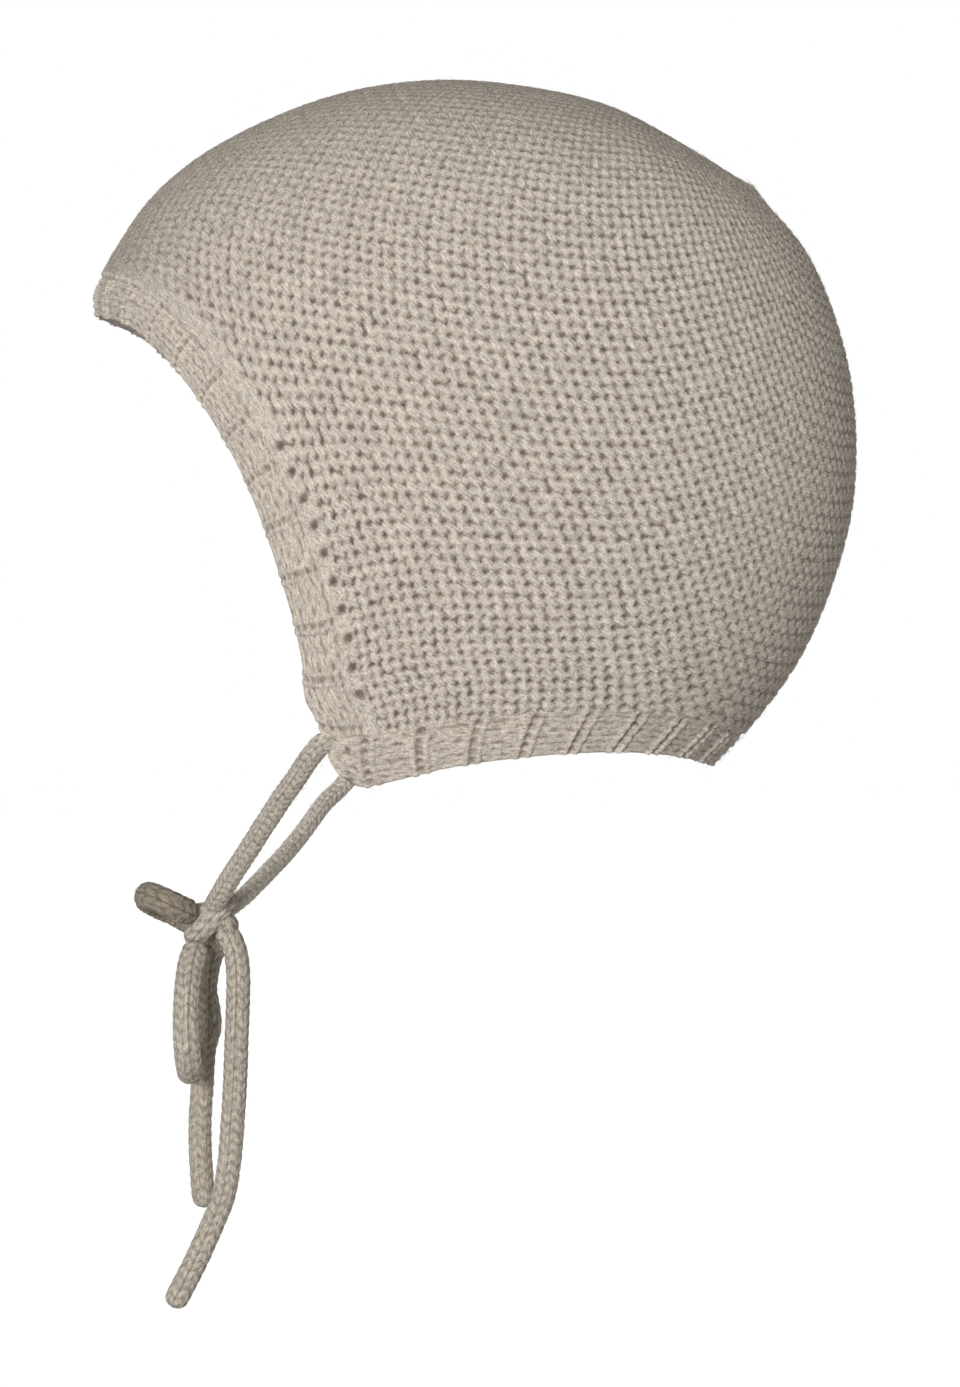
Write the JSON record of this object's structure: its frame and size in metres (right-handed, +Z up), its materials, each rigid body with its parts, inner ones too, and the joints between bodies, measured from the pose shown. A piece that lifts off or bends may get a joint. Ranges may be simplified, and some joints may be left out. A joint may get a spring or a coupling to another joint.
{
  "type": "knitted baby bonnet with ties",
  "caption": "Knitted baby bonnet: a garter-stitch crown with ear flaps and a forehead peak, ribbed bands and cord ties in a bow.",
  "frame": {"origin": "where the top of the wearer's head bears on the inside of the crown", "axes": "+Z up, the face opening towards -Y, the wearer's left at +X"},
  "size_m": [0.126, 0.1573, 0.2546],
  "materials": {
    "garter_knit": "soft beige wool in garter stitch",
    "rib_knit": "soft beige wool in rib",
    "tie_cord": "soft beige knitted cord"
  },
  "bodies": {
    "root": {"crown": "garter_knit", "face_band": "rib_knit", "neck_band": "rib_knit", "left_tie": "tie_cord", "right_tie": "tie_cord", "front_loop": "tie_cord", "down_loop": "tie_cord", "long_tail": "tie_cord", "short_tail": "tie_cord", "bow_knot": "tie_cord"}
  },
  "joints": []
}
